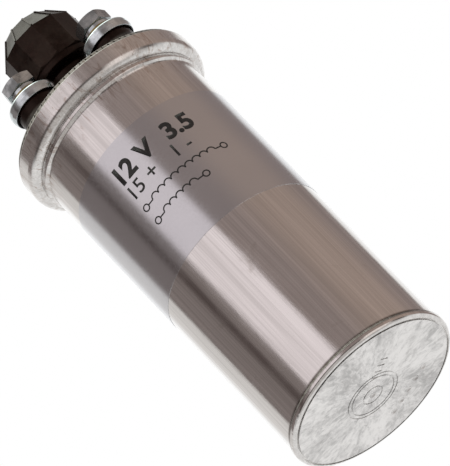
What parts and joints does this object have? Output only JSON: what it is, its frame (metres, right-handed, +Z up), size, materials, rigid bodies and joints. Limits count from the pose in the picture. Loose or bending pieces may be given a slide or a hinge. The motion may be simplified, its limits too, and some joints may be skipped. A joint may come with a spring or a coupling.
{
  "type": "ignition coil",
  "caption": "Cylindrical ignition coil in a drawn metal can with an insulating cap, two screw terminals and a central high-tension outlet under a union nut.",
  "frame": {"origin": "middle of the can's base face", "axes": "+Z up the can's axis towards the high-tension outlet; -Y midway between the two low-tension terminals"},
  "size_m": [0.0456, 0.0456, 0.1175],
  "materials": {
    "can_aluminium": "drawn aluminium with fine axial streaks and handling marks",
    "label_foil": "thin satin silver foil label",
    "gasket_cork": "compressed sealing ring",
    "bakelite": "dark brown-black moulded phenolic, slightly worn gloss",
    "brass": "turned brass",
    "spring_steel": "hard-drawn spring wire",
    "rubber": "black seal rubber",
    "zinc_plate": "bright zinc plate",
    "zinc_screw": "dulled zinc-plated steel",
    "silicon_steel": "varnished transformer sheet",
    "pressboard": "varnished pressboard",
    "enamelled_copper": "enamelled copper wire",
    "copper_wire": "enamelled copper lead",
    "insulation_paper": "oiled insulating paper",
    "porcelain": "glazed porcelain",
    "asphalt_compound": "black filling compound"
  },
  "bodies": {
    "coil_case": {"can": "can_aluminium", "label_band": "label_foil", "cap_gasket": "gasket_cork", "insulator_cap": "bakelite", "ht_insert": "brass", "ht_contact_spike": "brass", "ht_contact_spring": "spring_steel", "core_laminations": "silicon_steel", "core_contact_plate": "brass", "core_tube": "pressboard", "secondary_winding": "enamelled_copper", "secondary_paper": "insulation_paper", "secondary_lead": "copper_wire", "secondary_tail": "copper_wire", "primary_winding": "enamelled_copper", "primary_paper": "insulation_paper", "sheath_inner": "silicon_steel", "sheath_outer": "silicon_steel", "winding_sleeve": "pressboard", "base_insulator": "porcelain", "top_spacer": "pressboard", "filling_compound": "asphalt_compound", "terminal_insert_1": "brass", "primary_lead_1": "copper_wire", "terminal_insert_2": "brass", "primary_lead_2": "copper_wire"},
    "ht_gland": {"ht_seal": "rubber", "ht_pressure_washer": "zinc_plate"},
    "ht_nut": {"ht_union_nut": "bakelite"},
    "terminal_clamp_1": {"cup_washer_1": "zinc_plate", "plain_washer_1": "brass", "lock_washer_1": "zinc_plate"},
    "terminal_bolt_1": {"terminal_screw_1": "zinc_screw"},
    "terminal_clamp_2": {"cup_washer_2": "zinc_plate", "plain_washer_2": "brass", "lock_washer_2": "zinc_plate"},
    "terminal_bolt_2": {"terminal_screw_2": "zinc_screw"}
  },
  "joints": [
    {"name": "ht_nut_lift", "type": "slide", "parent": "coil_case", "child": "ht_gland", "axis": [0, 0, 1], "range_m": [0, 0.0075]},
    {"name": "ht_nut_turn", "type": "hinge", "parent": "ht_gland", "child": "ht_nut", "pos_m": [0, 0, 0.108], "axis": [0, 0, 1], "range_deg": [0, 1800]},
    {"name": "terminal_lift_1", "type": "slide", "parent": "coil_case", "child": "terminal_clamp_1", "axis": [0, 0, 1], "range_m": [0, 0.0021]},
    {"name": "terminal_turn_1", "type": "hinge", "parent": "terminal_clamp_1", "child": "terminal_bolt_1", "pos_m": [-0.01004, -0.01004, 0.1], "axis": [0, 0, 1], "range_deg": [0, 1080]},
    {"name": "terminal_lift_2", "type": "slide", "parent": "coil_case", "child": "terminal_clamp_2", "axis": [0, 0, 1], "range_m": [0, 0.0021]},
    {"name": "terminal_turn_2", "type": "hinge", "parent": "terminal_clamp_2", "child": "terminal_bolt_2", "pos_m": [0.01004, -0.01004, 0.1], "axis": [0, 0, 1], "range_deg": [0, 1080]}
  ],
  "couplings": [
    {"joint": "ht_nut_lift", "follows": "ht_nut_turn", "m_per_rad": 0.00023873},
    {"joint": "terminal_turn_1", "follows": "terminal_lift_1", "rad_per_m": 8976},
    {"joint": "terminal_turn_2", "follows": "terminal_lift_2", "rad_per_m": 8976}
  ]
}
